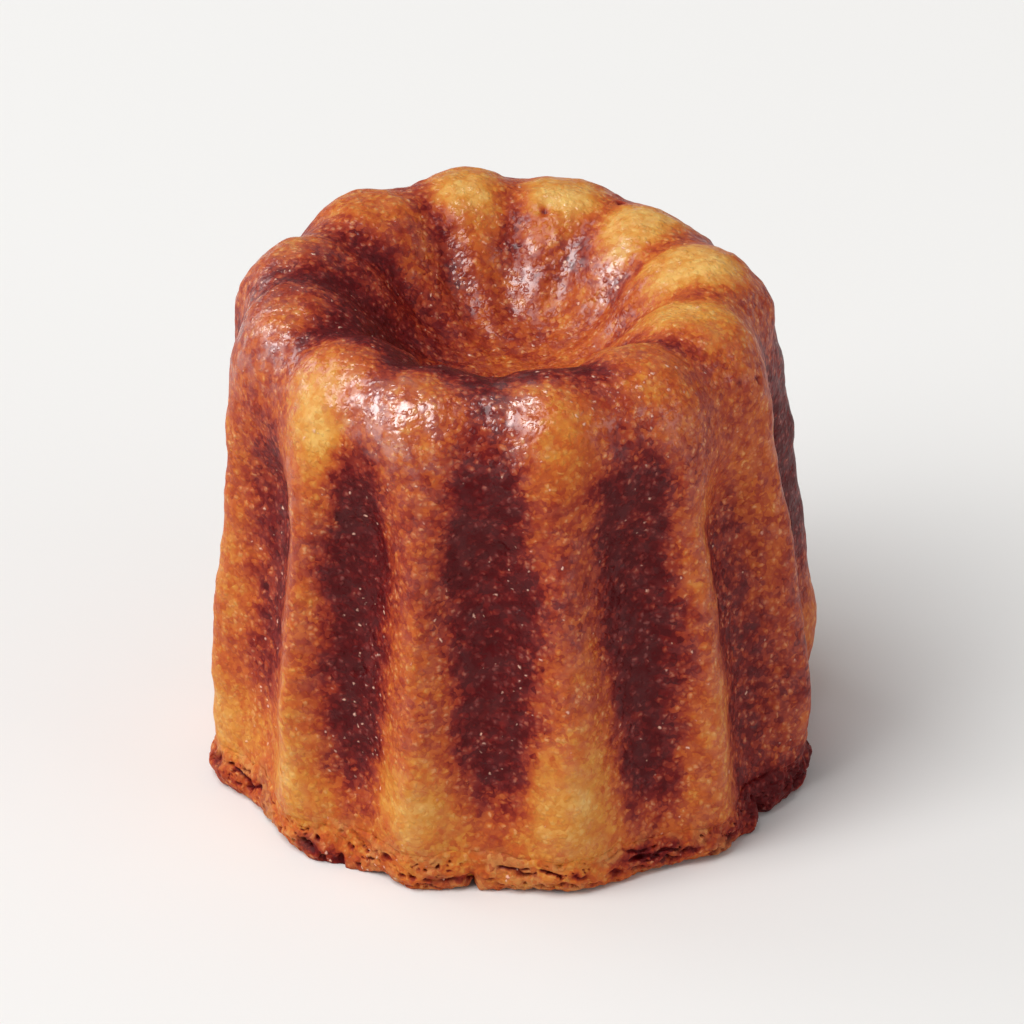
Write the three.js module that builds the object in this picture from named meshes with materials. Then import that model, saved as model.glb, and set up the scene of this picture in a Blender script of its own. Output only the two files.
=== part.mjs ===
// A canele: a small custard cake baked in a fluted mould and turned out, so that the mould's dished
// bottom is now its top. Twelve flutes run up the wall, over the shoulder and the rim, and fade out
// towards the middle of the dish. The cake is one solid, and stands on a flat foot with a thin lip.
// Units are millimetres. +Z is up, -Y is the front, and the origin is the middle of the foot.
import * as THREE from "three";

const { degToRad, lerp, smoothstep } = THREE.MathUtils;

// Driving dimensions, measured over the ridges between the flutes.
const rimHeight = 48.8;
const rimRadius = 18.1; // of the circle along the top of the rim
const dishHeight = 39.4; // of the middle of the dish above the table
const dishWallRadius = 10.2; // where the dish's wall is steepest
const dishWallHeight = 43.7;
const bowlRadius = 5.6; // of the dish's shallow middle
const bowlHeight = 40.1;
const shoulderRadius = 25.2;
const shoulderHeight = 40.5;
const waistRadius = 26.3; // where the flutes have come to their full depth
const waistHeight = 31.5;
const bellyRadius = 28.3;
const bellyHeight = 11.5;
const creaseRadius = 27.9; // the nip just above the foot's lip
const creaseHeight = 3.4;
const lipRadius = 28.0;
const lipHeight = 1.5;
const footRadius = 26.6; // of the flat that the cake stands on

// Flutes. A ridge's rounding is 0 for a knife edge, and 1 or more for a plain wave.
const fluteCount = 12;
const firstRidge = degToRad(13.5); // from the front towards +X
const bowlDepth = 0.1;
const dishDepth = 0.6;
const rimDepth = 0.75;
const shoulderDepth = 1.35;
const wallDepth = 3.2;
const creaseDepth = 1.9;
const lipDepth = 1.4;
const topRounding = 1.1;
const shoulderRounding = 0.8;
const wallRounding = 0.32;
const footRounding = 0.7;
const rimLobes = 0.7; // 0 for a plain wave round the rim, and more for narrower valleys

// How uneven the cake is. Each set of waves runs round it: how many, how large, and where they start,
// with the wall's swells also winding round as they rise.
const lean = -1.0; // the rim's shift along X
const bow = 0.2; // the wall's shift along X halfway up
const rimTilt = 0.45;
const highSide = degToRad(-125); // of the rim, from the front towards +X
const fadeHeight = 28.5; // the rim's rise and fall fades out from here down
const wanderWaves = [
  { count: 2, size: degToRad(1.1), start: 0.8, winding: 0 },
  { count: 5, size: degToRad(0.66), start: 2.1, winding: 0 },
];
const depthWaves = [{ count: 3, size: 0.14, start: -1.9, winding: 0 }]; // as a share of a flute's depth
const rimWaves = [{ count: 5, size: 0.2, start: 3.97, winding: 0 }];
const wallWaves = [
  { count: 2, size: 0.25, start: 1.0, winding: 2.2 },
  { count: 3, size: 0.15, start: -1.6, winding: -4.0 },
];

// The mesh.
const stepsPerFlute = 10;

// The outline from the middle of the dish to the middle of the foot, in stretches. Each is a cubic
// curve on from the last one's end, with its two handles, and with the flute depth and the ridge
// rounding that it ends with.
const stretches = [
  { // the shallow middle of the dish
    handles: [[2.4, dishHeight], [4.0, dishHeight + 0.1]],
    end: [bowlRadius, bowlHeight],
    depth: bowlDepth, rounding: topRounding, rows: 2,
  },
  { // up to where the dish's wall is steepest
    handles: [[7.6, 40.9], [8.8, 42.1]],
    end: [dishWallRadius, dishWallHeight],
    depth: dishDepth, rounding: topRounding, rows: 3,
  },
  { // the dish's wall up to the rim
    handles: [[12.3, 46.1], [14.6, rimHeight]],
    end: [rimRadius, rimHeight],
    depth: rimDepth, rounding: topRounding, rows: 5,
  },
  { // over the rim to the shoulder
    handles: [[22.6, rimHeight], [24.7, 45.6]],
    end: [shoulderRadius, shoulderHeight],
    depth: shoulderDepth, rounding: shoulderRounding, rows: 8,
  },
  { // the upper wall, where the flutes deepen
    handles: [[25.5, 37.2], [25.9, 35.0]],
    end: [waistRadius, waistHeight],
    depth: wallDepth, rounding: wallRounding, rows: 3,
  },
  { // the lower wall down to the belly
    handles: [[27.0, 25.2], [28.2, 18.0]],
    end: [bellyRadius, bellyHeight],
    depth: wallDepth, rounding: wallRounding, rows: 6,
  },
  { // from the belly in to the crease above the foot
    handles: [[bellyRadius, 8.2], [28.0, 5.3]],
    end: [creaseRadius, creaseHeight],
    depth: creaseDepth, rounding: footRounding, rows: 4,
  },
  { // out to the foot's lip
    handles: [[27.85, 2.8], [lipRadius, 2.2]],
    end: [lipRadius, lipHeight],
    depth: lipDepth, rounding: footRounding, rows: 1,
  },
  { // round under the lip
    handles: [[lipRadius, 0.6], [27.6, 0]],
    end: [footRadius, 0],
    depth: lipDepth, rounding: footRounding, rows: 2,
  },
  { // the flat underside
    handles: [[footRadius * 2 / 3, 0], [footRadius / 3, 0]],
    end: [0, 0],
    depth: 0, rounding: footRounding, rows: 2,
  },
];

// Every row of the outline, with its flute depth and ridge rounding eased from stretch to stretch.
function outlineRows() {
  const rows = [];
  let start = new THREE.Vector2(0, dishHeight);
  let depth = 0;
  let rounding = topRounding;
  for (const stretch of stretches) {
    const [leaving, arriving] = stretch.handles.map(([radius, height]) => new THREE.Vector2(radius, height));
    const end = new THREE.Vector2(...stretch.end);
    const curve = new THREE.CubicBezierCurve(start, leaving, arriving, end);
    for (let step = rows.length ? 1 : 0; step <= stretch.rows; step++) {
      const along = step / stretch.rows;
      const eased = smoothstep(along, 0, 1);
      const flat = stretch.depth === 0; // the underside's flutes shrink straight to its middle
      rows.push({
        point: curve.getPoint(along),
        depth: lerp(depth, stretch.depth, flat ? along : eased),
        rounding: lerp(rounding, stretch.rounding, eased),
      });
    }
    start = end;
    depth = stretch.depth;
    rounding = stretch.rounding;
  }
  return rows.reverse(); // a lathe's faces point outwards when its outline runs upwards
}

// The sum of some waves at an angle from the front towards +X. The rise is 0 at the foot and 1 at the rim.
function sumOf(waves, angle, rise = 0) {
  let sum = 0;
  for (const { count, size, start, winding } of waves) {
    sum += size * Math.sin(count * angle + start + winding * rise);
  }
  return sum;
}

// 0 on a ridge and 1 at the bottom of a flute.
function flute(angle, row) {
  const wave = Math.sin((fluteCount / 2) * (angle + sumOf(wanderWaves, angle) - firstRidge));
  const rounded = (x) => Math.hypot(x, row.rounding) - row.rounding;
  const narrowing = rimLobes * smoothstep(row.point.y, shoulderHeight, rimHeight);
  return (rounded(wave) / rounded(1)) ** (1 + narrowing);
}

// How far the cake's axis leans and bows along X.
function sway(rise) {
  return lean * rise + bow * Math.sin(Math.PI * rise);
}

// The rim is highest at the back left, and rises and dips a little from ridge to ridge.
function rimRise(angle) {
  return rimTilt * Math.cos(angle - highSide) + sumOf(rimWaves, angle);
}

function canele() {
  const rows = outlineRows();
  const shape = new THREE.LatheGeometry(rows.map((row) => row.point), fluteCount * stepsPerFlute);
  shape.rotateX(Math.PI / 2); // the lathe turns about Y
  const position = shape.attributes.position;
  const normal = shape.attributes.normal;
  const place = new THREE.Vector3();
  const outward = new THREE.Vector3();
  for (let i = 0; i < position.count; i++) {
    const row = rows[i % rows.length];
    const height = row.point.y;
    const rise = height / rimHeight;
    place.fromBufferAttribute(position, i);
    outward.fromBufferAttribute(normal, i);
    const angle = Math.atan2(place.x, -place.y);
    const radial = new THREE.Vector3(Math.sin(angle), -Math.cos(angle), 0);

    // Low down the flutes cut straight in, so that the foot stays flat. Higher up they follow the surface.
    const direction = radial.clone().lerp(outward, smoothstep(height, bellyHeight, rimHeight)).normalize();
    const cut = row.depth * (1 + sumOf(depthWaves, angle)) * flute(angle, row);
    place.addScaledVector(direction, -cut);

    const central = Math.min(1, row.point.x / rimRadius); // the unevenness fades out at the axis
    const swell = sumOf(wallWaves, angle, rise) * central * smoothstep(height, 0, creaseHeight);
    place.addScaledVector(radial, swell);
    place.x += sway(rise);
    place.z += rimRise(angle) * central * smoothstep(height, fadeHeight, rimHeight);
    position.setXYZ(i, place.x, place.y, place.z);
  }
  return shape;
}

const crust = new THREE.MeshStandardMaterial({ color: 0xa9552f, roughness: 0.42, metalness: 0 });
const cake = new THREE.Mesh(canele(), crust);
cake.name = "canele";

const group = new THREE.Group();
group.add(cake);

export default group;
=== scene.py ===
import math

import bpy
import numpy as np
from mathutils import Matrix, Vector, noise


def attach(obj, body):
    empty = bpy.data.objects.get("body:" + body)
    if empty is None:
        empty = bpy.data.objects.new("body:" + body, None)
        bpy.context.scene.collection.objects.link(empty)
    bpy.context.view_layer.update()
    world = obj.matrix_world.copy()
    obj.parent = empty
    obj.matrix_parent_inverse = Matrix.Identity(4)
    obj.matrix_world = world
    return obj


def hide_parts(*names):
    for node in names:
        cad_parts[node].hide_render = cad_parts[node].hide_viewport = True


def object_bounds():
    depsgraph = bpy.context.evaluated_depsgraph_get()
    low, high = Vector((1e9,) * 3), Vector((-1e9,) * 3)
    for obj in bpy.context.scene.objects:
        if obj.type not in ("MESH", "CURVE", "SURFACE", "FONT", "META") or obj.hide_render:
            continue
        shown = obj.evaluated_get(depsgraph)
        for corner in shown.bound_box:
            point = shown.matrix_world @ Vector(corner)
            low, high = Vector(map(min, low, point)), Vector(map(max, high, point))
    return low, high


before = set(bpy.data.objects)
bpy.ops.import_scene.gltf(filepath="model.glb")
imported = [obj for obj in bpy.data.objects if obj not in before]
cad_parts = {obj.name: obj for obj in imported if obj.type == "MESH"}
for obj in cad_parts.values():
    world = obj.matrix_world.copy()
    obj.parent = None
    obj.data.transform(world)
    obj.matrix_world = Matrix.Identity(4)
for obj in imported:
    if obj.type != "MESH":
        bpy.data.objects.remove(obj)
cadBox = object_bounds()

mm = 0.001
scene = bpy.context.scene


# numbers and noise

def smoothStep(value, start, end):
    share = np.clip((value - start) / (end - start), 0, 1)
    return share * share * (3 - 2 * share)


def linear(red, green, blue):
    # a colour as picked on a screen, 0 to 255, as the linear one that shaders take
    shares = [value / 255 for value in (red, green, blue)]
    return tuple(s / 12.92 if s <= 0.04045 else ((s + 0.055) / 1.055) ** 2.4 for s in shares) + (1,)


def wavesOf(waves, angle, rise=0):
    # the sum of some waves round the cake
    return sum(size * np.sin(count * angle + start + winding * rise) for count, size, start, winding in waves)


def lumps(points, size, seed):
    # smooth noise from about -1 to 1 whose lumps are size mm across, with each seed's taken elsewhere
    moved = points / size + seed * 17.3
    return np.array([noise.noise(Vector(point)) for point in moved]) * 1.6


def lumpsOver(points, layers, seed):
    # layers of lumps over a grid of points, each with its size in mm and its height
    flat = points.reshape(-1, 3)
    total = sum(lumps(flat, size, seed + k) * height for k, (size, height) in enumerate(layers))
    return total.reshape(points.shape[:2])


def cells(points, size, seed):
    # distance to the nearest of scattered spots about size mm apart, and a random share for each spot
    moved = points / size + seed * 11.7
    distances, shares = [], []
    for point in moved:
        near, spots = noise.voronoi(Vector(point))
        distances.append(near[0])
        shares.append(noise.cell(spots[0] * 97.1) / 2 + 0.5)
    return np.array(distances) * size, np.array(shares)


def turned(angle, centre):
    # an angle less a centre in degrees, kept within half a turn
    return (angle - centre + 180) % 360 - 180


class Wire:
    # an output socket that can be used in sums, so that 1 - mask adds a Math node
    def __init__(self, tree, socket=None):
        self.tree = tree
        self.socket = socket

    def node(self, kind, settings=None, sockets=None, output=0):
        # any node: its settings first, then the values or links of its sockets
        made = self.tree.nodes.new(kind)
        for name, value in (settings or {}).items():
            if name == "stops":
                for _ in range(len(value) - len(made.color_ramp.elements)):
                    made.color_ramp.elements.new(1)
                for element, (position, colour) in zip(made.color_ramp.elements, value):
                    element.position, element.color = position, colour
            else:
                setattr(made, name, value)
        for name, value in (sockets or {}).items():
            if isinstance(value, Wire):
                self.tree.links.new(value.socket, made.inputs[name])
            else:
                made.inputs[name].default_value = value
        return Wire(self.tree, made.outputs[output] if len(made.outputs) else None)

    def beside(self, output):
        # another output of the same node
        return Wire(self.tree, self.socket.node.outputs[output])

    def maths(self, operation, first, second):
        return self.node("ShaderNodeMath", {"operation": operation}, {0: first, 1: second})

    def __add__(self, other):
        return self.maths("ADD", self, other)

    def __radd__(self, other):
        return self.maths("ADD", other, self)

    def __sub__(self, other):
        return self.maths("SUBTRACT", self, other)

    def __rsub__(self, other):
        return self.maths("SUBTRACT", other, self)

    def __mul__(self, other):
        return self.maths("MULTIPLY", self, other)

    def __rmul__(self, other):
        return self.maths("MULTIPLY", other, self)

    def step(self, start, end, low=0.0, high=1.0):
        # a smooth change from low to high as this runs from start to end
        return self.node("ShaderNodeMapRange", {"interpolation_type": "SMOOTHSTEP"}, {
            "Value": self, "From Min": start, "From Max": end, "To Min": low, "To Max": high})

    def under(self, above, amount):
        # this colour with another laid over it by an amount
        return self.node("ShaderNodeMix", {"data_type": "RGBA"}, {"Factor": amount, 6: self, 7: above}, 2)


def newMaterial(name):
    material = bpy.data.materials.new(name)
    material.use_nodes = True
    material.node_tree.nodes.clear()
    return material, Wire(material.node_tree)


# the cake's shape

cake = {
    # the outline over the ridges in mm, as the solid has it
    "dishHeight": 39.4,
    "bowlRadius": 5.6,         # of the dish's shallow middle
    "bowlHeight": 40.1,
    "slopeRadius": 10.2,       # where the dish's wall is steepest
    "slopeHeight": 43.7,
    "rimRadius": 18.1,
    "rimHeight": 48.8,
    "shoulderRadius": 25.2,
    "shoulderHeight": 40.5,
    "waistRadius": 26.3,
    "waistHeight": 31.5,
    "bellyRadius": 28.3,
    "bellyHeight": 11.5,
    "creaseRadius": 27.9,
    "creaseHeight": 3.4,
    "lipRadius": 28.0,
    "lipHeight": 1.5,
    "footRadius": 26.6,
    # flutes
    "flutes": 12,
    "firstRidge": 13.5,        # degrees from the front towards the right
    "bowlDepth": 0.1,
    "dishDepth": 0.6,
    "rimDepth": 0.75,
    "shoulderDepth": 1.35,
    "wallDepth": 3.2,
    "creaseDepth": 1.9,
    "lipDepth": 1.4,
    "topRounding": 1.1,        # of the ridges, and 0 for knife edges
    "shoulderRounding": 0.8,
    "wallRounding": 0.32,
    "footRounding": 0.7,
    "rimLobes": 0.7,           # 0 for a plain wave round the rim, and more for narrower valleys
    # how it has baked out of true
    "lean": -1.0,
    "bow": 0.2,
    "rimTilt": 0.45,
    "highSide": -125,          # of the rim, in degrees
    "fadeHeight": 28.5,        # the rim's rise and fall fades out from here down
    # waves that run round it: how many, how large, where they start, and how far they wind as they rise
    "wanderWaves": [(2, 1.1, 0.8, 0), (5, 0.66, 2.1, 0)],    # of the flutes, in degrees
    "depthWaves": [(3, 0.14, -1.9, 0)],                      # as a share of a flute's depth
    "wallWaves": [(2, 0.25, 1.0, 2.2), (3, 0.15, -1.6, -4.0)],
    "rimWaves": [(5, 0.2, 3.9708, 0)],
    "columns": 480,            # round the mesh
}


def stretchesOf(c):
    # the outline from the dish to the underside, as cubic curves: each has its start, two handles and end in
    # mm, then the flute depth and ridge rounding that it ends with, and its rows
    dish = (0, c["dishHeight"])
    bowl = (c["bowlRadius"], c["bowlHeight"])
    slope = (c["slopeRadius"], c["slopeHeight"])
    rim = (c["rimRadius"], c["rimHeight"])
    shoulder = (c["shoulderRadius"], c["shoulderHeight"])
    waist = (c["waistRadius"], c["waistHeight"])
    belly = (c["bellyRadius"], c["bellyHeight"])
    crease = (c["creaseRadius"], c["creaseHeight"])
    lip = (c["lipRadius"], c["lipHeight"])
    edge = (c["footRadius"], 0)
    top, wall, bottom = c["topRounding"], c["wallRounding"], c["footRounding"]
    return [
        ([dish, (2.4, dish[1]), (4.0, 39.5), bowl], c["bowlDepth"], top, 12),
        ([bowl, (7.6, 40.9), (8.8, 42.1), slope], c["dishDepth"], top, 14),
        ([slope, (12.3, 46.1), (14.6, rim[1]), rim], c["rimDepth"], top, 24),
        ([rim, (22.6, rim[1]), (24.7, 45.6), shoulder], c["shoulderDepth"], c["shoulderRounding"], 32),
        ([shoulder, (25.5, 37.2), (25.9, 35.0), waist], c["wallDepth"], wall, 22),
        ([waist, (27.0, 25.2), (28.2, 18.0), belly], c["wallDepth"], wall, 48),
        ([belly, (belly[0], 8.2), (28.0, 5.3), crease], c["creaseDepth"], bottom, 24),
        ([crease, (27.85, 2.8), (lip[0], 2.2), lip], c["lipDepth"], bottom, 6),
        ([lip, (lip[0], 0.6), (27.6, 0), edge], c["lipDepth"], bottom, 8),
        ([edge, (18, 0), (9, 0), (0, 0)], 0, bottom, 10),
    ]


def outlineOf(stretches, depth, rounding):
    # radius, height, flute depth and ridge rounding of each row of the mesh
    rows = []
    for points, endDepth, endRounding, count in stretches:
        a, b, d, e = (np.array(point, float) for point in points)
        for step in range(0 if not rows else 1, count + 1):
            t = step / count
            eased = t * t * (3 - 2 * t)
            place = (1 - t) ** 3 * a + 3 * (1 - t) ** 2 * t * b + 3 * (1 - t) * t * t * d + t ** 3 * e
            share = eased if endDepth else t    # the underside's flutes shrink straight to its middle
            fluteDepth = depth + (endDepth - depth) * share
            rows.append((*place, fluteDepth, rounding + (endRounding - rounding) * eased))
        depth, rounding = endDepth, endRounding
    return np.array(rows)


def surfaceOf(c, rows, columns, startArc=0):
    # a fluted surface as a grid of points in mm, rows by columns, with each point's facts: its angle, how far
    # along the outline it is, and its place in a flute, from 0 on a ridge to 1 at the bottom
    radius, height, depth, rounding = (rows[:, k, None] for k in range(4))
    arc = startArc + np.concatenate([[0], np.cumsum(np.hypot(*np.diff(rows[:, :2], axis=0).T))])[:, None]
    slopes = np.gradient(rows[:, :2], axis=0)
    slopes /= np.linalg.norm(slopes, axis=1, keepdims=True)
    angle = np.linspace(-math.pi, math.pi, columns, endpoint=False)[None, :]

    wandering = angle + np.radians(wavesOf(c["wanderWaves"], angle))
    wave = np.sin(c["flutes"] / 2 * (wandering - math.radians(c["firstRidge"])))
    flute = (np.sqrt(wave ** 2 + rounding ** 2) - rounding) / (np.sqrt(1 + rounding ** 2) - rounding)
    flute = flute ** (1 + c["rimLobes"] * smoothStep(height, c["shoulderHeight"], c["rimHeight"]))
    cut = depth * (1 + wavesOf(c["depthWaves"], angle)) * flute

    # low down the flutes cut straight in, and higher up they follow the surface
    top = smoothStep(height, c["bellyHeight"], c["rimHeight"])
    outR = 1 - top + top * -slopes[:, 1, None]
    outZ = top * slopes[:, 0, None]
    outLength = np.hypot(outR, outZ)
    rise = height / c["rimHeight"]
    central = np.minimum(1, radius / c["rimRadius"])
    swell = wavesOf(c["wallWaves"], angle, rise) * central * smoothStep(height, 0, c["creaseHeight"])
    lift = c["rimTilt"] * np.cos(angle - math.radians(c["highSide"])) + wavesOf(c["rimWaves"], angle)
    lift = lift * central * smoothStep(height, c["fadeHeight"], c["rimHeight"])

    r = radius - cut * outR / outLength + swell
    z = height - cut * outZ / outLength + lift
    sway = c["lean"] * rise + c["bow"] * np.sin(math.pi * rise)
    points = np.stack([r * np.sin(angle) + sway, -r * np.cos(angle), z], -1)
    facts = {
        "angle": np.degrees(angle) + 0 * height,
        "arc": arc + 0 * angle,
        "flute": flute + 0 * angle,
    }
    return points, facts


def normalsOf(points, ring=False):
    # the way each point of a grid faces: a ring's last row meets its first, and other grids end at the axis
    around = np.roll(points, -1, 1) - np.roll(points, 1, 1)
    along = np.roll(points, -1, 0) - np.roll(points, 1, 0)
    normals = np.cross(along, around)
    normals /= np.maximum(np.linalg.norm(normals, axis=-1, keepdims=True), 1e-9)
    if not ring:
        normals[0] = (0, 0, 1)
        normals[-1] = (0, 0, -1)
    return normals


# what the oven has done to the surface: angles are degrees from the front, and along is mm from the middle of
# the dish down the outline

relief = {
    "lumps": [(7.0, 0.16), (2.6, 0.12), (1.1, 0.07)],    # size and height in mm
    "bumps": [                   # angle, along, half width, half height, how far out
        (-86, 33, 3.2, 3.0, 0.55),
        (-84, 41, 4.0, 3.0, -0.45),
        (-77, 38, 3.0, 3.5, 0.55),
        (-104, 32, 4.0, 4.5, 0.5),
        (-104, 18, 5.0, 4.5, -0.7),
        (-137, 26, 4.0, 3.5, 0.45),
        (162, 24, 6.0, 4.0, -0.45),
        (131, 26, 6.0, 5.0, -1.2),
        (-118, 25, 5.0, 4.0, -0.5),
        (80, 46, 4.0, 5.0, 0.45),
        (103, 65, 4.0, 4.0, 0.8),
        (75, 65, 4.0, 4.0, 0.4),
        (44, 36, 4.0, 2.5, 0.25),
        (-30, 29.0, 4.4, 4.6, 0.8),
        (-31, 23.5, 4.0, 4.0, 0.7),
        (-17, 20.5, 4.2, 5.0, -0.7),
        (-3, 22, 4.0, 6.0, 0.4),
        (13, 20.5, 4.2, 5.0, -0.4),
        (27, 22, 4.0, 6.0, 0.4),
        (12.5, 25, 2.2, 6.0, 0.3),
        (4, 25.5, 2.2, 6.0, -0.3),
        (101, 30, 3.0, 2.2, 0.4),
        (104, 37, 3.0, 2.0, 0.35),
        (103, 44, 3.0, 2.4, 0.3),
    ],
    "pinholes": [                # angle, along, half width, half height, how deep
        (166.4, 17.6, 0.42, 0.34, 0.6),
    ],
    "pinholeShade": 1.4,         # how much of a hole's painted shade they get
    "pitSpacing": 3.6,
    "pitShare": 0.16,            # of the places for one that have one
    "pitRadii": (0.35, 0.85),
    "pitBottom": 0.3,            # the share of a pit's radius that is at full depth
    "pitDepth": 0.42,
    "dishRelief": 0.4,           # how much of the relief is left in the middle of the dish
    "dishMiddle": (0, 3),        # from where to where along the outline, as in the next three
    "footInset": (70.2, 71.6),
    "footShade": (68.8, 70.8),
    "underside": (74.6, 76.5),
    "insetDepth": 1.1,           # how far the body stays inside the torn foot
    "undersideLumps": [(2.4, 0.12)],
}


def spotMask(points, facts, angle, along, halfWidth, halfHeight, wander=0, streak=False):
    # 1 in the middle of an oval spot on the surface and 0 outside it; a streak is long, with a plainer edge
    radius = np.hypot(points[..., 0], points[..., 1])
    across = (np.radians(turned(facts["angle"], angle)) * radius + wander) / halfWidth
    down = (facts["arc"] - along + wander) / halfHeight
    if streak:
        narrowing = np.clip(1 - 0.35 * down ** 2, 0.5, 1)    # towards its ends
        sides = 1 - smoothStep(np.abs(across) / narrowing, 0.30, 1.15)
        ends = 1 - smoothStep(np.abs(down), 0.55, 1.12)
        return sides * ends
    return np.exp(-(across ** 2 + down ** 2) * 1.2)


def addRelief(points, facts, normals):
    # the body's points moved in and out, with where its holes and its foot are added to the facts
    arc = facts["arc"]
    out = lumpsOver(points, relief["lumps"], seed=0)
    for *spot, height in relief["bumps"]:
        out += spotMask(points, facts, *spot) * height

    distance, share = cells(points.reshape(-1, 3), relief["pitSpacing"], seed=3)
    smallest, largest = relief["pitRadii"]
    pitRadius = smallest + (largest - smallest) * share / relief["pitShare"]
    pits = (share < relief["pitShare"]) * (1 - smoothStep(distance / pitRadius, relief["pitBottom"], 1))
    facts["hole"] = pits.reshape(arc.shape)
    out -= relief["pitDepth"] * facts["hole"]
    for *spot, depth in relief["pinholes"]:
        pinhole = spotMask(points, facts, *spot)
        facts["hole"] += pinhole * relief["pinholeShade"]
        out -= depth * pinhole

    underside = smoothStep(arc, *relief["underside"])
    fromMiddle = smoothStep(arc, *relief["dishMiddle"])
    out -= relief["insetDepth"] * smoothStep(arc, *relief["footInset"])
    out *= (1 - underside) * (relief["dishRelief"] + (1 - relief["dishRelief"]) * fromMiddle)
    moved = points + normals * out[..., None]
    # the underside is plain, with only a shallow grain
    moved[..., 2] += underside * np.abs(lumpsOver(points, relief["undersideLumps"], seed=8))
    moved[..., 2] = np.maximum(moved[..., 2], 0)
    facts["foot"] = smoothStep(arc, *relief["footShade"])
    return moved


# how dark the crust is, from 0 for pale gold to 1 for the darkest brown

toast = {
    # the ridges' tone along the outline, and how much darker the flutes are beside the dark streaks
    "along":  (0,    5,    10,   16,   19,   24,   29,   34,   45,   55,   62,   67,   70,   73,   76),
    "ridge":  (0.43, 0.48, 0.56, 0.48, 0.42, 0.42, 0.46, 0.50, 0.54, 0.48, 0.36, 0.26, 0.30, 0.38, 0.50),
    "flute":  (0.00, 0.02, 0.05, 0.34, 0.38, 0.22, 0.08, 0.06, 0.06, 0.06, 0.08, 0.10, 0.06, 0.02, 0.00),
    "streaks": [                 # each flute's dark streak: angle, along, half width, half height, darker
        (-62, 48.5, 3.8, 16.0, 0.20),
        (-32, 49.5, 3.9, 20.5, 0.50),
        (-2.4, 48, 4.9, 21.0, 0.51),
        (29.8, 50, 4.5, 21.5, 0.46),
        (57, 56, 4.2, 19.0, 0.18),
        (86, 50, 4.8, 19.0, 0.34),
        (118, 47, 5.3, 20.0, 0.44),
        (147, 50, 4.8, 18.0, 0.38),
        (177, 47, 5.2, 21.0, 0.44),
        (-152, 49, 4.7, 19.0, 0.38),
        (-124, 47, 5.3, 20.0, 0.44),
        (-93, 49, 4.4, 18.0, 0.30),
    ],
    "thinValleys": (23, 30),     # where the thin lines between the rim's lobes widen to plain flutes
    "edges": [(3.2, 0.7), (1.1, 0.35)],    # how the spots' edges wander: size and height in mm
    "drift": [(9.0, 0.05)],      # slow changes all over: size in mm, and how much darker
    "palest": 0.10,
    "darkest": 0.94,
    "patches": [                 # angle, along, half width, half height, how much darker
        (-44, 29.0, 4.4, 7.4, -0.27),
        (14, 30, 3.2, 7.0, -0.14),
        (-38, 31, 3.4, 4.0, -0.12),
        (-84, 24, 4.0, 6.0, 0.14),
        (101, 12.5, 4.0, 2.4, 0.14),
        (88, 15.5, 2.6, 4.0, -0.28),
        (121, 16.0, 2.4, 3.4, -0.18),
        (109, 16.5, 2.6, 3.0, 0.12),
        (159, 14.0, 2.4, 4.5, 0.14),
        (149, 20.0, 2.2, 4.0, -0.12),
        (150, 12.0, 2.0, 4.0, -0.12),
        # darker caramel with painted shade on the dish's left wall, which faces away from the lamps
        (-88, 6.0, 5.0, 3.5, 0.12),
        (118, 10, 14.0, 4.0, -0.14),
        (-108, 11, 12.0, 5.0, -0.05),
        (22, 26, 6.0, 3.5, -0.06),
        (133, 13.2, 4.5, 1.8, 0.14),
        (12, 48, 4.0, 16.0, 0.05),
        (-20, 44, 3.4, 12.0, 0.04),
        (-45, 46, 2.4, 18.0, -0.10),
        (-19, 48, 2.4, 14.0, -0.06),
        (43, 48, 2.4, 16.0, -0.05),
        # these four darken the dish's left and back-left wall and its left rim: partly darker caramel, partly
        # painted shade
        (-105, 12, 9.0, 6.0, 0.12),
        (-104, 18, 5.0, 4.0, 0.24),
        (-68, 13, 6.0, 4.5, 0.35),
        (-145, 9, 7.0, 5.0, 0.12),
        (-164, 20, 5.4, 5.0, -0.30),
        (165, 20, 5.4, 5.0, -0.30),
        (133, 19.5, 5.8, 4.4, -0.37),
        (102, 21, 5.0, 6.5, -0.38),
        (-133, 20, 4.6, 4.0, -0.08),
        (76, 22.5, 4.8, 4.0, -0.20),
        # these three paint a darker line along the front crest, where its inner side is seen edge-on: painted
        # shade
        (-48, 19.0, 8.0, 3.2, 0.38),
        (-18, 18.5, 8.0, 2.4, 0.42),
        (18, 19.2, 5.5, 2.8, 0.38),
        (-7, 21.5, 3.0, 2.6, 0.14),
        (40, 18.0, 7.0, 2.4, -0.12),
        (64, 18.0, 7.0, 3.0, -0.16),
        (-137, 18.5, 4.0, 3.0, 0.12),
        (-78, 18.5, 4.0, 3.0, 0.12),
        (32, 35.5, 5.5, 3.0, 0.22),
        (68, 40, 6.0, 6.5, -0.12),
        (49, 42, 3.6, 8.0, -0.09),
        (13, 61.5, 4.2, 8.5, -0.17),
        (-17, 66, 6.5, 4.5, -0.13),
        (43, 66, 5.0, 5.0, 0.14),
        (70, 64, 7.0, 7.0, 0.26),
        (86, 52, 6.0, 18.0, 0.30),
        (-72, 67, 3.6, 3.0, -0.06),
        (-75, 48, 3.4, 15.0, -0.18),
        (-48, 66, 3.4, 5.0, -0.15),
        (-70, 72.5, 7.0, 2.2, 0.20),
        (80, 71, 14.0, 4.0, 0.34),
        (60, 72.5, 9.0, 2.6, 0.34),
        (31, 72.2, 4.0, 1.6, 0.20),
        (46, 73.6, 4.0, 1.2, -0.08),
        (104, 40, 4.0, 16.0, 0.26),
        (101, 51, 5.0, 8.5, 0.26),
        (-38, 73.3, 3.0, 1.6, 0.24),
        (27, 71.6, 3.0, 1.0, 0.22),
        (2, 73.4, 5.0, 1.4, -0.10),
    ],
}


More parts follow.
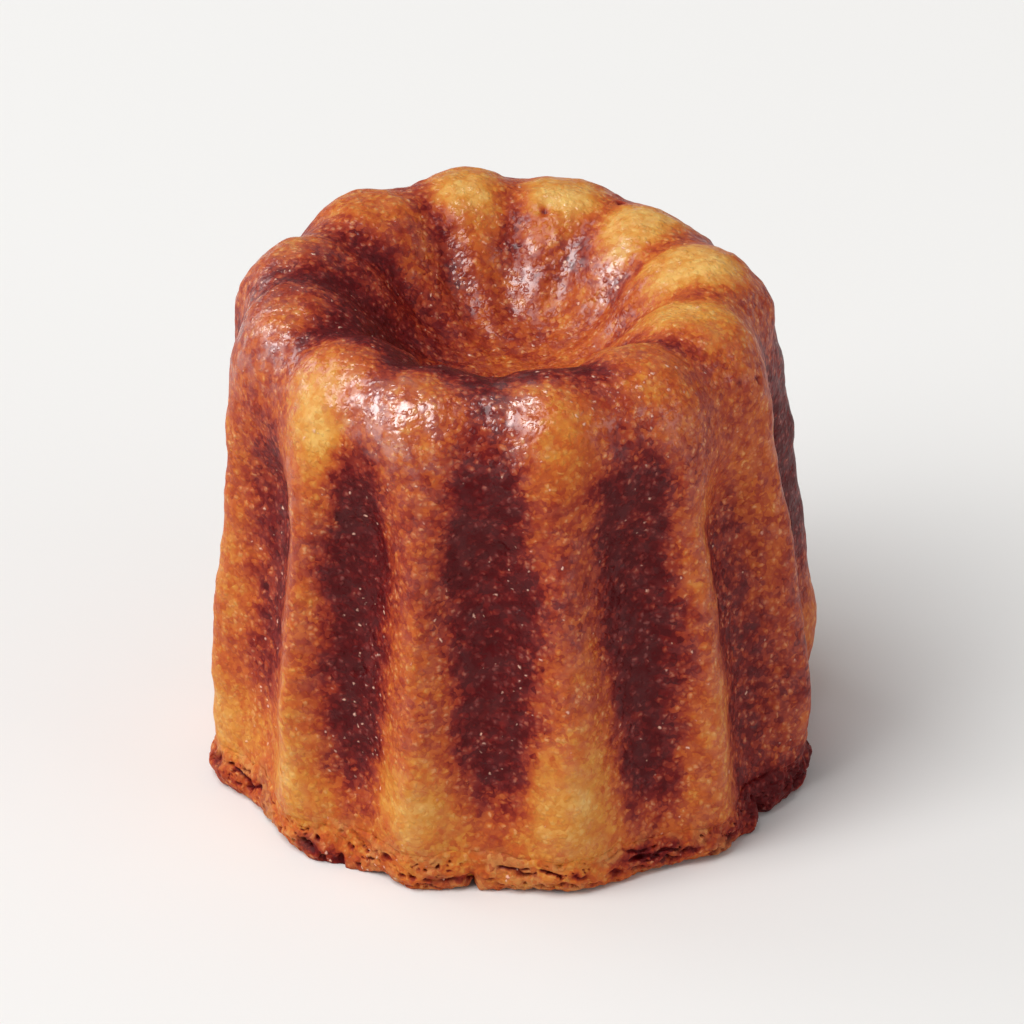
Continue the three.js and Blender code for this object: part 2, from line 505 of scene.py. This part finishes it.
def toneOf(points, facts):
    tone = np.interp(facts["arc"], toast["along"], toast["ridge"])
    narrow = 2 - smoothStep(facts["arc"], *toast["thinValleys"])
    tone += np.interp(facts["arc"], toast["along"], toast["flute"]) * facts["flute"] ** narrow
    # edges wander, so that no spot is a clean oval
    wander = lumpsOver(points, toast["edges"], seed=21)
    for *spot, darker in toast["streaks"]:
        tone += darker * spotMask(points, facts, *spot, wander, True)
    for *spot, darker in toast["patches"]:
        tone += darker * spotMask(points, facts, *spot, wander)
    tone += lumpsOver(points, toast["drift"], seed=23)
    return np.clip(tone, toast["palest"], toast["darkest"])


def meshFromGrid(name, points, values, ring=False):
    # a closed mesh from a grid: a ring's last row meets its first, and otherwise both are single points
    rows, columns = points.shape[:2]
    here = np.arange(columns)
    following = np.roll(here, -1)
    faces = []

    def gather(grid):
        if ring:
            return grid.reshape(-1, *grid.shape[2:])
        return np.concatenate([grid[:1, 0], grid[1:-1].reshape(-1, *grid.shape[2:]), grid[-1:, 0]])

    bands = rows if ring else rows - 3
    first = 0 if ring else 1
    for row in range(bands):
        start, end = first + row * columns, first + (row + 1) % rows * columns
        faces += np.stack([start + here, end + here, end + following, start + following], 1).tolist()
    vertices = gather(points) * mm
    if not ring:
        last, start = len(vertices) - 1, first + bands * columns
        faces += [(0, 1 + int(a), 1 + int(b)) for a, b in zip(here, following)]
        faces += [(start + int(a), last, start + int(b)) for a, b in zip(here, following)]
    mesh = bpy.data.meshes.new(name)
    mesh.from_pydata(vertices.tolist(), [], faces)
    for key, value in values.items():
        attribute = mesh.attributes.new(key, "FLOAT", "POINT")
        attribute.data.foreach_set("value", gather(value).astype(np.float32))
    mesh.shade_smooth()
    piece = bpy.data.objects.new(name, mesh)
    scene.collection.objects.link(piece)
    return piece


# the torn foot, where the batter met the open end of the mould

foot = {
    "columns": 1080,             # round the mesh
    "startArc": 69.9,            # along the body's outline, of its hidden top edge
    "shown": (70.1, 71.2),       # from where to where along the outline it comes out of the wall
    "hidden": (76.0, 77.5),      # and goes back in below
    "wholeCrust": (70.6, 71.4),  # above this it has no pores
    "lumps": [(3.1, 0.18), (1.3, 0.15), (0.6, 0.10)],    # size and height in mm
    "edgeBand": (70.6, 72.4),    # where its edge rises and falls
    "edgeLumps": [(2.2, 0.45), (0.8, 0.225)],
    "clusterSize": 4.5,          # of pores
    "pores": [                   # spacing, share that are open, depth
        (1.15, 0.62, 0.75),
        (0.65, 0.42, 0.35),
    ],
    "flatness": 1.8,             # how much wider than tall the pores are
    "raggedSize": 0.9,
    "ragged": 0.45,              # how far their outlines wander, in mm
    "crackLumps": [(2.2, 0.45)],    # how the cracks wander, as size and height in mm
    "crackBottom": 0.3,          # the share of a crack's width that is at full depth
    "crackEnds": 0.7,            # the share of its length where it starts to close
    "notchWander": 0.7,          # how far the notches' outlines wander, as a share of the pores'
    "cracks": [                  # angle, along, half length, half width, depth
        (1.5, 71.4, 1.7, 0.20, 0.35),
        (8.5, 71.6, 1.2, 0.20, 0.35),
        (24, 71.0, 2.6, 0.24, 0.35),
        (32, 72.0, 1.8, 0.22, 0.35),
        (-16, 73.9, 2.2, 0.18, 0.22),
        (-64, 71.8, 2.6, 0.22, 0.35),
        (-84, 72.8, 3.0, 0.22, 0.30),
        (76, 72.9, 3.4, 0.22, 0.35),
        (108, 71.6, 5.0, 0.24, 0.40),
        (146, 72.8, 5.5, 0.22, 0.30),
        (-168, 71.5, 4.5, 0.24, 0.40),
        (-132, 72.4, 5.5, 0.22, 0.35),
        (-104, 71.4, 3.0, 0.22, 0.35),
    ],
    "juts": [                    # angle, along, half width, half height, how far out
        (-72, 72.6, 4.0, 1.5, 0.60),
        (-38, 73.4, 2.2, 1.3, 0.70),
        (-32, 74.2, 1.8, 0.9, 0.80),
        (9, 73.8, 4.0, 1.6, -0.45),
        (38, 73.4, 3.2, 1.6, -0.40),
        (54.5, 73.1, 1.4, 1.3, 1.00),
        (64, 72.2, 1.2, 1.4, 0.45),
        (80, 71.6, 1.9, 1.6, 0.70),
    ],
    "notches": [                 # angle, along, half width, half height, depth
        (-6.5, 74.0, 0.45, 1.8, 1.3),
        (-10.5, 73.2, 1.9, 0.6, 0.6),
        (10.5, 75.0, 0.6, 0.5, 0.6),
        (-34.5, 73.4, 0.6, 0.55, 1.0),
        (-41, 72.8, 0.9, 0.4, 0.7),
        (-28, 74.8, 1.4, 0.7, 0.7),
        (-64, 72.4, 0.6, 0.6, 0.9),
        (-74, 71.8, 0.8, 0.4, 0.7),
        (3.5, 72.0, 0.9, 0.26, 0.8),
        (10, 72.9, 0.9, 0.25, 0.7),
        (6.5, 73.5, 0.6, 0.22, 0.6),
        (1, 73.7, 0.7, 0.24, 0.6),
        (-3, 72.8, 0.5, 0.24, 0.6),
        (17, 73.6, 0.7, 0.25, 0.6),
        (14, 72.1, 0.8, 0.25, 0.6),
        (22, 73.0, 0.7, 0.5, 0.8),
        (27, 71.9, 1.2, 0.30, 0.7),
        (37, 72.4, 1.0, 0.30, 0.6),
        (43, 73.4, 0.7, 0.4, 0.7),
        (33, 73.0, 1.1, 0.3, 0.7),
        (47, 72.6, 0.9, 0.4, 0.7),
        (59, 73.0, 0.7, 1.2, 0.9),
        (71, 72.6, 1.0, 1.0, 0.8),
    ],
}


def footOutline(c):
    # its section, from a top edge sunk in the wall, over the lip, and back inside the body
    top = (c["creaseRadius"] - 0.5, c["creaseHeight"] + 0.75)
    crease = (c["creaseRadius"] - 0.1, c["creaseHeight"] - 0.5)
    lip = (c["lipRadius"] + 0.1, c["lipHeight"])            # a little outside the body's own
    edge = (c["footRadius"] + 0.4, 0.02)                    # just clear of the table
    under = (c["footRadius"] - 2.2, 0.5)                    # inside the body, as the next one is
    inside = (c["footRadius"] - 2.0, c["creaseHeight"])
    rounding, depth = c["footRounding"], c["lipDepth"]

    def straight(start, end):
        start, end = np.array(start), np.array(end)
        return [start, start * 2 / 3 + end / 3, start / 3 + end * 2 / 3, end]

    rows = outlineOf([
        ([top, (top[0] + 0.35, top[1] - 0.2), (crease[0], crease[1] + 0.4), crease], depth, rounding, 12),
        ([crease, (crease[0] + 0.05, 2.5), (lip[0], 2.1), lip], depth, rounding, 10),
        ([lip, (lip[0], 0.6), (edge[0] + 0.6, edge[1]), edge], depth, rounding, 16),
        (straight(edge, under), depth, rounding, 6),
        (straight(under, inside), depth, rounding, 3),
        (straight(inside, top), depth, rounding, 4),
    ], depth, rounding)
    return rows[:-1]    # the last row is the first again


def poresOf(points, facts):
    # flattened holes with ragged outlines in clusters, cracks and notches: 1 where open, and the depth
    flat = points.reshape(-1, 3)
    shape = points.shape[:2]
    ragged = np.stack([lumps(flat, foot["raggedSize"], seed) for seed in (41, 42, 43)], -1) * foot["ragged"]
    clusters = smoothStep(lumps(flat, foot["clusterSize"], seed=9), -0.5, 0)    # no pores between them
    openings, depths = np.zeros(len(flat)), np.zeros(len(flat))
    for k, (spacing, openShare, depth) in enumerate(foot["pores"]):
        distance, share = cells(flat * (1, 1, foot["flatness"]) + ragged, spacing, seed=5 + k)
        # those with a larger share are wider
        pore = 1 - smoothStep(distance / spacing, 0.10 + 0.17 * share, 0.25 + 0.35 * share)
        pore *= (share < openShare) * clusters
        openings, depths = np.maximum(openings, pore), np.maximum(depths, pore * depth)
    openings, depths = openings.reshape(shape), depths.reshape(shape)
    wander = lumpsOver(points * (1, 1, 0), foot["crackLumps"], seed=50)
    for angle, along, halfLength, halfWidth, depth in foot["cracks"]:
        lengthwise = np.abs(np.radians(turned(facts["angle"], angle))) * cake["lipRadius"] / halfLength
        across = np.abs(facts["arc"] - along + wander) / halfWidth
        crack = 1 - smoothStep(across, foot["crackBottom"], 1)
        crack *= 1 - smoothStep(lengthwise, foot["crackEnds"], 1)
        openings, depths = np.maximum(openings, crack), np.maximum(depths, crack * depth)
    wander = ragged[:, 0].reshape(shape) * foot["notchWander"]
    for *spot, depth in foot["notches"]:
        notch = spotMask(points, facts, *spot, wander)
        openings, depths = np.maximum(openings, notch), depths + notch * depth
    return openings, depths


def tornFoot(c):
    points, facts = surfaceOf(c, footOutline(c), foot["columns"], foot["startArc"])
    arc = facts["arc"]
    shown = smoothStep(arc, *foot["shown"]) * (1 - smoothStep(arc, *foot["hidden"]))
    out = lumpsOver(points, foot["lumps"], seed=30)
    for *spot, height in foot["juts"]:
        out += height * spotMask(points, facts, *spot)
    openings, depths = poresOf(points, facts)
    moved = points + normalsOf(points, ring=True) * ((out - depths) * shown)[..., None]
    # the torn edge rises and falls on the wall
    edge = 1 - smoothStep(arc, *foot["edgeBand"])
    moved[..., 2] += edge * lumpsOver(points * (1, 1, 0), foot["edgeLumps"], seed=10)
    moved[..., 2] = np.maximum(moved[..., 2], 0)
    facts["hole"] = openings * smoothStep(arc, *foot["wholeCrust"]) * shown
    facts["foot"] = np.ones(arc.shape)
    return moved, facts


# the crust's finish

crust = {
    "stops": [                   # tone, then colour
        (0.00, linear(226, 180, 100)),
        (0.22, linear(206, 134, 52)),
        (0.42, linear(188, 90, 34)),
        (0.62, linear(154, 52, 28)),
        (0.80, linear(112, 18, 16)),
        (1.00, linear(80, 0, 4)),
    ],
    # sizes in mm
    "blotchSize": 2.6,
    "mottleSize": 0.85,
    "dripSize": 1.5,
    "grainSize": 0.56,
    "speckSpacing": 0.7,
    "ruffleSize": 0.5,
    "ruffle": 0.55,              # how far the grains' outlines wander
    # how much each changes the tone
    "blotches": 0.42,
    "mottle": 0.36,
    "grain": 0.16,
    "uneven": 0.28,
    # painted shade: how much darker the holes are inside
    "hole": 0.5,
    # what is laid over it: how much of it, and its colour or its colours by tone
    # pale beads, partly fat and sugar and partly painted highlight
    "beadsAndSparkle": 0.64,
    "beadAndSparkleStops": [(0.3, linear(228, 166, 120)), (0.8, linear(150, 90, 84))],
    "crumb": linear(200, 140, 80),
    # painted glints: pinkish-white highlight specks laid into the colour
    "paintedGlints": 0.85,
    "paintedGlintColour": linear(244, 192, 168),
    # roughness, specular level, index of refraction and height of the bumps in mm
    "dry": (0.48, 0.16, 1.46, 0.10),
    "sticky": (0.23, 1.0, 1.8, 0.085),
    "mottledRoughness": 0.3,
    "depth": {                   # how far light sinks in
        "Subsurface Weight": 0.20, "Subsurface Radius": (1.0, 0.4, 0.2), "Subsurface Scale": 0.8 * mm},
    # how high each stands in the bumps
    "mottleHeight": 1.3,
    "domeHeight": 0.8,
    "glintHeight": 0.8,
    # how much of it is sticky
    "topGloss": 0.28,            # above the shoulder
    "wallGloss": 0.05,
    "ridgeGloss": 0.10,          # more on the wall's ridges
    "wall": (25, 33),            # where it begins along the outline
    "valleys": (13, 17, 20, 24),    # between the rim's lobes: where they begin, are full, fade and end
    "valleyDullness": 0.6,
    "paintedGlintsAllOver": 0.08,           # how thickly the painted glints lie all over
    "glazed": [                  # angle, along, half width, half height, how much glossier
        (-26, 27, 4.6, 4.6, 1.60),
        (-33, 32, 4.0, 2.6, -0.60),
        (-39, 26, 3.0, 4.0, -0.20),
        (5, 23.5, 2.2, 5.0, 1.50),
        (-64, 27, 8.0, 3.4, 0.60),
        (-80, 28, 4.0, 6.0, 0.45),
        (-54, 42, 2.6, 9.0, 0.40),
        (134, 8.5, 5.0, 2.5, -0.18),
        (170, 11.5, 1.1, 3.4, 0.55),
        (178, 9.5, 0.9, 2.4, 0.35),
        (150, 12.5, 1.2, 4.2, 0.42),
        (160, 10, 12.0, 4.5, -0.14),
        (124.5, 12, 1.5, 4.5, 0.50),
        (132, 13.5, 1.6, 2.5, 0.35),
        (100, 11, 3.0, 2.2, 0.50),
        (-157, 11.5, 1.0, 2.4, 0.60),
        (40, 18, 4.0, 3.0, 0.40),
        (-95, 12, 9.0, 7.0, -0.25),
        (-104, 26, 6.0, 6.0, 0.30),
        (-84, 31, 5.0, 5.0, 0.25),
        (-48.5, 50, 0.8, 19.0, 0.75),
        (-48, 18.3, 9.0, 2.4, -0.35),
        (-18, 18.5, 8.0, 2.4, -0.35),
        (14, 18.5, 8.0, 2.4, -0.35),
        (15, 30, 3.0, 6.0, -0.25),
    ],
    # where the painted highlight specks lie thickest
    "strewn": [                  # angle, along, half width, half height, how thickly
        (-30, 54, 2.2, 15.0, 0.95),
        (-31, 61, 3.0, 4.0, 0.50),
        (-27, 72.6, 4.0, 1.8, 0.90),
        (-62, 56, 3.0, 14.0, 0.50),
        (1, 50, 2.4, 14.0, 0.50),
        (33, 52, 2.4, 14.0, 0.30),
        (-88, 26, 10.0, 7.0, 0.55),
        (22, 25, 9.0, 6.0, 0.45),
        (-30, 28, 7.0, 6.0, 0.45),
        (-20, 73, 6.0, 2.0, 0.30),
        (135, 12, 22.0, 5.0, 0.60),
    ],
}


def crustMaterial():
    material, wire = newMaterial("caramelisedCrust")
    coordinates = wire.node("ShaderNodeTexCoord", output="Object")
    inMm = wire.node("ShaderNodeVectorMath", {"operation": "SCALE"}, {0: coordinates, "Scale": 1 / mm})

    def attribute(name):
        return wire.node("ShaderNodeAttribute", {"attribute_name": name}, output="Fac")

    def noiseOf(size, detail, output=0):
        return wire.node("ShaderNodeTexNoise", {}, {
            "Vector": inMm, "Scale": 1 / size, "Detail": detail}, output)

    def grainsOf(spacing):
        # how far each place is from the middle of its grain
        return wire.node("ShaderNodeTexVoronoi", {}, {"Vector": ruffled, "Scale": 1 / spacing})

    def shareOf(grains, part):
        # a random share for each grain, from one part of its colour
        return wire.node("ShaderNodeSeparateColor", {}, {0: grains.beside("Color")}, part)

    tone, hole = attribute("tone"), attribute("hole")
    blotches = noiseOf(crust["blotchSize"], 3.0)
    mottle = noiseOf(crust["mottleSize"], 1.2)
    drips = noiseOf(crust["dripSize"], 1.0)
    ruffled = wire.node("ShaderNodeVectorMath", {"operation": "MULTIPLY_ADD"}, {
        0: noiseOf(crust["ruffleSize"], 1.0, "Color"), 1: (crust["ruffle"],) * 3, 2: inMm})
    grains = grainsOf(crust["grainSize"])
    grainShare = shareOf(grains, "Red")
    domes = grains.step(0.0, 0.62, 1.0, 0.0)

    # gold is smooth, and the darkest crust the most mottled
    speckle = (mottle - 0.5) * crust["mottle"] + (0.45 - domes) * crust["grain"]
    speckle = (speckle + (0.5 - grainShare) * crust["uneven"]) * tone.step(0.10, 0.80, 0.40, 1.00)
    # the holes are darkened with painted shade
    shade = tone + (blotches - 0.5) * crust["blotches"] + speckle + hole * crust["hole"]
    colour = wire.node("ShaderNodeValToRGB", {"stops": crust["stops"]}, {"Fac": shade})

    # pale beads lie in the grains, fewest on the gold: partly fat and sugar, partly painted highlight that
    # stands in for sparkle on the grains
    beadAndSparkleColour = wire.node("ShaderNodeValToRGB", {"stops": crust["beadAndSparkleStops"]}, {"Fac": shade})
    beadsAndSparkle = grains.step(0.06, 0.50, 1.0, 0.0) * grainShare.step(0.30, 1.0)
    beadsAndSparkle = beadsAndSparkle * tone.step(0.20, 0.50, 0.15, 1.0) * drips.step(0.35, 0.62, 0.25, 1.0)
    colour = colour.under(beadAndSparkleColour, beadsAndSparkle * (1 - hole) * crust["beadsAndSparkle"])

    # the torn foot shows some of the crumb
    crumb = blotches.step(0.45, 0.62) * grainShare.step(0.10, 0.80, 0.35, 1.0)
    crumb = attribute("foot") * (crumb * tone.step(0.45, 0.62, 0.60, 0.0))
    colour = colour.under(crust["crumb"], crumb * (1 - hole))

    # painted glints: pinkish-white highlight specks laid into the colour, as if specks of sugar caught the
    # light, thickest where they are spread
    specks = grainsOf(crust["speckSpacing"])
    strewn = attribute("strewn") * drips.step(0.40, 0.62, 0.2, 1.0)
    strewn = (shareOf(specks, "Green") + strewn).step(1.0, 1.04)
    paintedGlints = (specks + shareOf(specks, "Blue") * 0.14).step(0.12, 0.34, 1.0, 0.0) * strewn
    colour = colour.under(crust["paintedGlintColour"], paintedGlints * crust["paintedGlints"])

    glaze = attribute("gloss") * drips.step(0.42, 0.60, 0.30, 1.10)
    height = mottle * crust["mottleHeight"] + domes * crust["domeHeight"] + paintedGlints * crust["glintHeight"]

    def finish(roughness, specular, ior, bumpHeight):
        bump = wire.node("ShaderNodeBump", {}, {
            "Strength": 1.0, "Distance": bumpHeight * mm, "Height": height})
        return wire.node("ShaderNodeBsdfPrincipled", {}, {
            "Base Color": colour,
            "Roughness": roughness + (mottle - 0.5) * crust["mottledRoughness"],
            "Normal": bump,
            "IOR": ior,
            "Specular IOR Level": specular,
            **crust["depth"],
        })

    dry, sticky = finish(*crust["dry"]), finish(*crust["sticky"])
    shader = wire.node("ShaderNodeMixShader", {}, {0: glaze, 1: dry, 2: sticky})
    wire.node("ShaderNodeOutputMaterial", {}, {"Surface": shader})
    return material


def addPiece(name, points, facts, ring=False):
    # one piece of crust with all that its finish reads
    along, flute = facts["arc"], facts["flute"]
    wall = smoothStep(along, *crust["wall"])
    gloss = crust["topGloss"] + (crust["wallGloss"] - crust["topGloss"]) * wall
    gloss += crust["ridgeGloss"] * wall * (1 - flute) ** 3
    for *spot, glossier in crust["glazed"]:
        gloss += glossier * spotMask(points, facts, *spot)
    # the valleys between the rim's lobes and the foot are dull
    begin, full, fade, end = crust["valleys"]
    valleys = flute * smoothStep(along, begin, full) * (1 - smoothStep(along, fade, end))
    gloss *= (1 - crust["valleyDullness"] * valleys) * (1 - facts["foot"])
    # how thickly the painted highlight specks lie
    strewn = np.full(along.shape, crust["paintedGlintsAllOver"])
    for *spot, thickly in crust["strewn"]:
        strewn += thickly * spotMask(points, facts, *spot)
    piece = meshFromGrid(name, points, {
        "tone": toneOf(points, facts), "gloss": gloss, "hole": facts["hole"], "strewn": strewn,
        "foot": facts["foot"]}, ring)
    piece.data.materials.append(caramelised)
    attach(piece, "root")
    return piece


caramelised = crustMaterial()
print("making the body")
points, facts = surfaceOf(cake, outlineOf(stretchesOf(cake), 0, cake["topRounding"]), cake["columns"])
body = addPiece("crustBody", addRelief(points, facts, normalsOf(points)), facts)
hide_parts("canele")
print("making the torn foot")
addPiece("tornFoot", *tornFoot(cake), ring=True)


# table, light and camera

studio = {
    "floorColour": linear(236, 235, 233),
    "floorSize": 18.0,           # metres, as are the lamps' distance and sizes
    "world": 0.34,               # the even light from all round
    "lampDistance": 2.7,
    "lamps": {                   # direction, size, watts
        "softbox": ((-0.47, -0.33, 0.84), (1.4, 2.6), 63.0),
        "rightFill": ((0.86, -0.48, 0.20), (1.8, 1.5), 15.0),
        "leftFill": ((-0.93, -0.20, 0.30), (1.5, 1.5), 8.0),
        "backFill": ((-0.80, 0.40, 0.45), (1.6, 1.4), 15.0),
    },
}
view = {
    "azimuth": 1.4,              # degrees towards the right
    "elevation": 30.5,
    "distance": 1.18,            # metres
    "lens": 455,                 # mm
    "aimRaise": -0.0005,         # metres above the middle of the cake
}


def makeFloor():
    mesh = bpy.data.meshes.new("table")
    half = studio["floorSize"] / 2
    corners = [(-half, -half), (half, -half), (half, half), (-half, half)]
    mesh.from_pydata([(x, y, cadBox[0].z) for x, y in corners], [], [(0, 1, 2, 3)])
    floor = bpy.data.objects.new("table", mesh)
    scene.collection.objects.link(floor)
    material, wire = newMaterial("paleTable")
    shader = wire.node("ShaderNodeBsdfPrincipled", {}, {
        "Base Color": studio["floorColour"], "Roughness": 0.9, "Specular IOR Level": 0.1})
    wire.node("ShaderNodeOutputMaterial", {}, {"Surface": shader})
    mesh.materials.append(material)


def makeLight():
    world = bpy.data.worlds.new("studio")
    world.use_nodes = True
    background = world.node_tree.nodes["Background"]
    background.inputs["Color"].default_value = (1, 1, 1, 1)
    background.inputs["Strength"].default_value = studio["world"]
    scene.world = world
    for name, (direction, size, watts) in studio["lamps"].items():
        data = bpy.data.lights.new(name, "AREA")
        data.shape = "RECTANGLE"
        data.size, data.size_y = size
        data.energy = watts
        lamp = bpy.data.objects.new(name, data)
        scene.collection.objects.link(lamp)
        away = Vector(direction).normalized()
        lamp.location = away * studio["lampDistance"]
        lamp.rotation_euler = away.to_track_quat("Z", "Y").to_euler()


def makeCamera():
    data = bpy.data.cameras.new("camera")
    camera = bpy.data.objects.new("camera", data)
    scene.collection.objects.link(camera)
    data.lens = view["lens"]
    azimuth, elevation = math.radians(view["azimuth"]), math.radians(view["elevation"])
    away = Vector((math.sin(azimuth) * math.cos(elevation), -math.cos(azimuth) * math.cos(elevation),
                   math.sin(elevation)))
    low, high = cadBox
    aim = (low + high) / 2 + Vector((0, 0, view["aimRaise"]))
    camera.location = aim + away * view["distance"]
    camera.rotation_euler = away.to_track_quat("Z", "Y").to_euler()
    scene.camera = camera


print("setting the table, light and camera")
makeFloor()
makeLight()
makeCamera()
scene.view_settings.view_transform = "Standard"

print("finishing")
